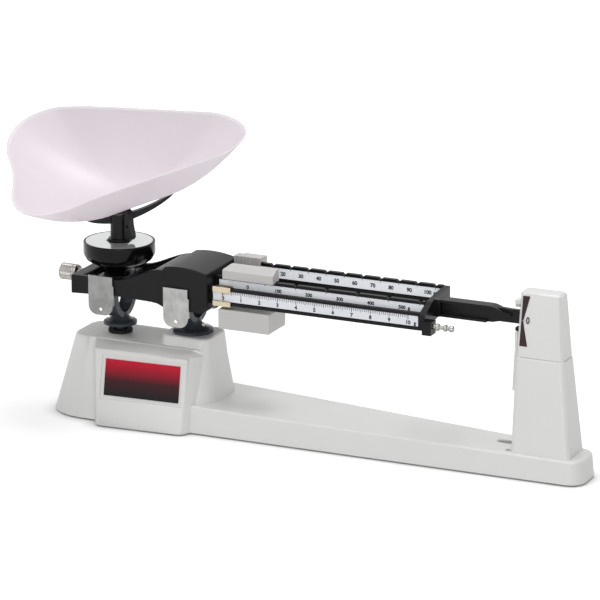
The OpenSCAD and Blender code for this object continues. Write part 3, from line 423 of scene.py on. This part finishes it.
beam = {"castingEdge": 1.2, "armEdge": 0.6, "plateEdge": 0.8, "railEdge": 0.2, "coverEdge": 0.3}
softened("beam_casting", "blackEnamel", beam["castingEdge"], 3, outer=True)
softened("pointer_arm", "blackEnamel", beam["armEdge"])
softened("end_plate", "blackEnamel", beam["plateEdge"])
for node in ("rear_beam", "middle_beam", "front_beam"):
    softened(node, "blackEnamel", beam["railEdge"])
# The rear and middle strips take the strip copy with the painted light.
for node, material in (("rear_scale", "innerStripPaintedLight"), ("middle_scale", "innerStripPaintedLight"), ("front_scale", "scaleStrip")):
    softened(node, material, 0.1)
# The load covers take the darker copy of the steel, a painted shade.
for node, material in (("fulcrum_cover", "sheetSteel"), ("load_cover", "shadedCoverSteel")):
    for side in ("front_", "rear_"):
        softened(side + node, material, beam["coverEdge"])
for node, material, width in (("damper_vane", "copperStrip", 0.1), ("fulcrum_knife", "turnedSteel", 0.2),
                              ("load_knife", "turnedSteel", 0.2), ("zero_stud", "turnedSteel", 0.3),
                              ("weight_pin", "turnedSteel", 0.2)):
    softened(node, material, width)

scales = {
    "rear": {"zero": 41.0, "pitch": 16.6, "count": 10, "step": 10, "z": 132.6, "size": 4.6, "tickShift": 7.0},
    "middle": {"zero": 59.1, "pitch": 28.2, "count": 5, "step": 100, "z": 129.0, "size": 4.2, "tickShift": 15.9},
    "front": {"zero": 41.6, "pitch": 16.9, "count": 10, "step": 1, "z": 120.6, "size": 4.4},
}
unitGap = 6.2
for row, s in scales.items():
    low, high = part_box(row + "_scale")
    face = low.y / mm - 0.06
    top = high.z / mm
    words = [(str(k * s["step"]), (s["zero"] + k * s["pitch"], face, s["z"])) for k in range(s["count"] + 1)]
    words.append(("g", (s["zero"] + s["count"] * s["pitch"] + unitGap, face, s["z"])))
    printedWords(row + "Numbers", words, "beam", s["size"])
    if row == "front":
        k = np.arange(s["count"] * 10 + 1)
        x = s["zero"] + k * s["pitch"] / 10
        length = np.where(k % 10 == 0, 3.8, np.where(k % 5 == 0, 3.2, 2.4))
        wide = np.where(k % 10 == 0, 0.26, 0.20)
    else:
        k = np.arange(s["count"] + 1)
        x = s["zero"] + k * s["pitch"] + s["tickShift"]
        length, wide = np.full(len(k), 1.6), np.full(len(k), 0.2)
    points, faces = boxes(np.stack([x - wide, x * 0 + face, top - length], -1),
                          np.stack([x + wide, x * 0 + face + 0.05, x * 0 + top], -1))
    putPiece(row + "Ticks", points * mm, faces, "scaleInk", "beam", smooth=False)
print("beam done")


# Zero knob

knob = {"start": -126.5, "end": -110.0, "neck": -105.0, "radius": 7.2, "neckRadius": 4.4, "bore": 2.35,
        "knurls": 34, "depth": 0.42, "axisZ": 118.0, "sides": 240}


# Straight knurl: a wave round the knob between two plain ends, with one groove cut across it.
def knurl(angle, along):
    straight = (along > knob["start"] + 1.6) & (along < knob["end"] - 1.6)
    band = np.abs((along - knob["start"]) - 12.6) < 0.5
    return -knob["depth"] * straight * np.maximum(0.5 - 0.5 * np.cos(knob["knurls"] * angle), band)


k = knob
turned("knurledKnob", [(k["start"], 0), (k["start"], k["radius"] - 1.0), (k["start"] + 0.9, k["radius"] - 0.1)]
       + [(x, k["radius"]) for x in np.linspace(k["start"] + 1.5, k["end"] - 1.5, 44)]
       + [(k["end"] - 0.7, k["radius"] - 0.1), (k["end"], k["radius"] - 0.9), (k["end"], k["neckRadius"] + 0.4),
          (k["end"] + 0.4, k["neckRadius"]), (k["neck"] - 0.4, k["neckRadius"]), (k["neck"], k["neckRadius"] - 0.4),
          (k["neck"], k["bore"]), (k["start"] + 3, k["bore"]), (k["start"] + 3, 0)],
       (0, 0, k["axisZ"]), "turnedSteel", "zero_knob", ("zero_knob",), k["sides"], knurl)


# Hanger, cup and forks

softened("fulcrum_post", "forkEnamel", 0.9, 3)
softened("hanger_fork", "forkEnamel", 0.9, 3)
softened("load_bearings", "agate", 0.3)
softened("pan_cup", "cupEnamel", 0.5, 3)
softened("cup_disc", "cupLiner", 0.25)
softened("cradle_post", "blackEnamel", 0.6, 3)
softened("cradle_clip", "blackEnamel", 0.6, 3)
softened("cradle_arms", "blackEnamel", 0.7, 3)


# Poises

softened("front_rider", "riderBrass", 0.9, 4)
softened("middle_poise", "poiseEnamel", 0.5, 3)
softened("middle_plug", "turnedSteel", 0.3)
softened("rear_poise", "poiseEnamel", 0.3, 2)
softened("rear_plug", "turnedSteel", 0.3)
print("hanger and poises done")


# Scoop

scoop = {"length": 206.0, "width": 154.6, "depth": 53.5, "wall": 1.8, "turn": 30.0, "pitch": 6.6, "roll": 20.35,
         "middle": (-67.6, -13.0, 235.4), "earAt": 0.237, "earRound": 3.1, "spoutAt": 0.864, "spoutWidth": 0.439,
         "start": 0.449, "earDip": 6.7, "earSag": 13.0, "bowlAt": 0.5, "fall": 2.2, "bead": 0.55, "around": 288, "rings": 30}


# The rim as a closed curve: t runs along the scoop as a cosine, the half width is a superellipse up to the ears, then a
# straight taper, then a round spout; the wide end dips in the middle and sags. A short running mean smooths it.
def scoopRim(c, count):
    a = np.linspace(0, 2 * np.pi, count, endpoint=False)
    t = (1 - np.cos(a)) / 2
    ear = np.maximum(0, 1 - np.abs((c["earAt"] - t) / c["earAt"]) ** c["earRound"]) ** (1 / c["earRound"])
    taper = 1 + (c["spoutWidth"] - 1) * (t - c["earAt"]) / (c["spoutAt"] - c["earAt"])
    tip = np.sqrt(np.maximum(0, 1 - (np.maximum(t - c["spoutAt"], 0) / (1 - c["spoutAt"])) ** 2))
    q = c["width"] / 2 * np.where(t < c["earAt"], ear, taper * tip) * np.where(a < np.pi, 1, -1)
    dip = np.where(t < 0.2, c["earDip"] * np.maximum(0, 1 - (q / 40) ** 2) ** 2, 0)
    rim = np.stack([c["length"] * (t - c["start"]) + dip, q, -c["earSag"] * np.maximum(0, 1 - t / 0.45) ** 2], -1)
    return sum(np.roll(rim, k, 0) for k in range(-3, 4)) / 7


def turnAbout(axis, degrees):
    s, c = math.sin(math.radians(degrees)), math.cos(math.radians(degrees))
    return np.array({"x": [[1, 0, 0], [0, c, -s], [0, s, c]], "y": [[c, 0, s], [0, 1, 0], [-s, 0, c]],
                     "z": [[c, -s, 0], [s, c, 0], [0, 0, 1]]}[axis])


# Rings shrink from the rim to one bottom point and fall with a power of their size. The same rings a wall higher are the
# inside, and three rings pushed out at the rim make its rolled bead.
def makeScoop(c):
    rim = scoopRim(c, c["around"])
    out = rim[:, :2] - rim[:, :2].mean(0)
    out /= np.linalg.norm(out, axis=1)[:, None]
    size = np.linspace(0, 1, c["rings"] + 1) ** 0.8
    middle = np.array([c["length"] * (c["bowlAt"] - c["start"]), 0])
    flat = middle + size[:, None, None] * (rim[None, :, :2] - middle)
    z = rim[None, :, 2] * size[:, None] ** 2 - c["depth"] * (1 - size[:, None] ** c["fall"])
    outer = np.concatenate([flat, z[..., None]], -1)
    inner = outer[::-1] + np.array([0, 0, c["wall"]])
    beads = [np.concatenate([rim[:, :2] + out * c["bead"] * w, rim[:, 2:] + c["wall"] * h], -1)
             for w, h in ((0.8, 0.2), (1.0, 0.5), (0.8, 0.8))]
    rings = np.concatenate([outer, np.array(beads), inner])
    place = turnAbout("z", c["turn"]) @ turnAbout("y", -c["pitch"]) @ turnAbout("x", c["roll"])
    points = (rings.reshape(-1, 3) @ place.T + np.array(c["middle"])) * mm
    sewn(putPiece("mouldedScoop", points, gridFaces(len(rings), c["around"]), "scoopMoulding", "scoop", ("scoop",)))


makeScoop(scoop)
print("scoop done")


# Floor and world

floorLook = {"grey": 0.80, "glow": 0.44, "farGlow": 1.2, "farFrom": 0.42, "contact": 14 * mm, "half": 6}


# A grey floor that takes the object's shadow. For the camera and for mirrors it also glows, more with the distance, so
# that it ends in the white of the world.
# The glow fades out where the object nearly touches the floor, which paints a dark contact shadow under it.
def floorAndWorld(c):
    material, tree, shader, place = newMaterial("paleFloor")
    shader.inputs["Base Color"].default_value = (c["grey"], c["grey"], c["grey"], 1)
    shader.inputs["Roughness"].default_value = 0.9
    shader.inputs["Specular IOR Level"].default_value = 0.1
    path = tree.nodes.new("ShaderNodeLightPath")
    seen = Field(tree, path.outputs["Is Camera Ray"]) + Field(tree, path.outputs["Is Glossy Ray"])
    glow = tree.nodes.new("ShaderNodeEmission")
    away = place.node("ShaderNodeVectorMath", {"operation": "LENGTH"}, {0: place}, 1)
    # painted contact shadow: ambient occlusion takes the glow away near the object
    paintedContactShade = place.node("ShaderNodeAmbientOcclusion", {"samples": 16}, {"Distance": c["contact"]}, 1)
    beyond = (away - c["farFrom"]).math("MAXIMUM", away - c["farFrom"], 0.0)
    strength = seen * paintedContactShade * paintedContactShade * (c["glow"] + c["farGlow"] * beyond)
    tree.links.new(strength.socket, glow.inputs["Strength"])
    both = tree.nodes.new("ShaderNodeAddShader")
    tree.links.new(shader.outputs[0], both.inputs[0])
    tree.links.new(glow.outputs[0], both.inputs[1])
    tree.links.new(both.outputs[0], tree.nodes["Material Output"].inputs["Surface"])
    mesh = bpy.data.meshes.new("floor")
    h = c["half"]
    mesh.from_pydata([(-h, -h, 0), (h, -h, 0), (h, h, 0), (-h, h, 0)], [], [(0, 1, 2, 3)])
    mesh.materials.append(material)
    floor = bpy.data.objects.new("floor", mesh)
    bpy.context.scene.collection.objects.link(floor)
    world = bpy.data.worlds.new("paleWorld")
    world.use_nodes = True
    bpy.context.scene.world = world
    tree = world.node_tree
    path = tree.nodes.new("ShaderNodeLightPath")
    seen = Field(tree, path.outputs["Is Camera Ray"])
    for ray in ("Is Glossy Ray", "Is Transmission Ray"):
        seen = seen.math("MAXIMUM", seen, Field(tree, path.outputs[ray]))
    ground = tree.nodes["Background"]
    tree.links.new((light["world"] + (1 - light["world"]) * seen).socket, ground.inputs["Strength"])
    ground.inputs["Color"].default_value = (1, 1, 1, 1)


floorAndWorld(floorLook)
print("all pieces done")
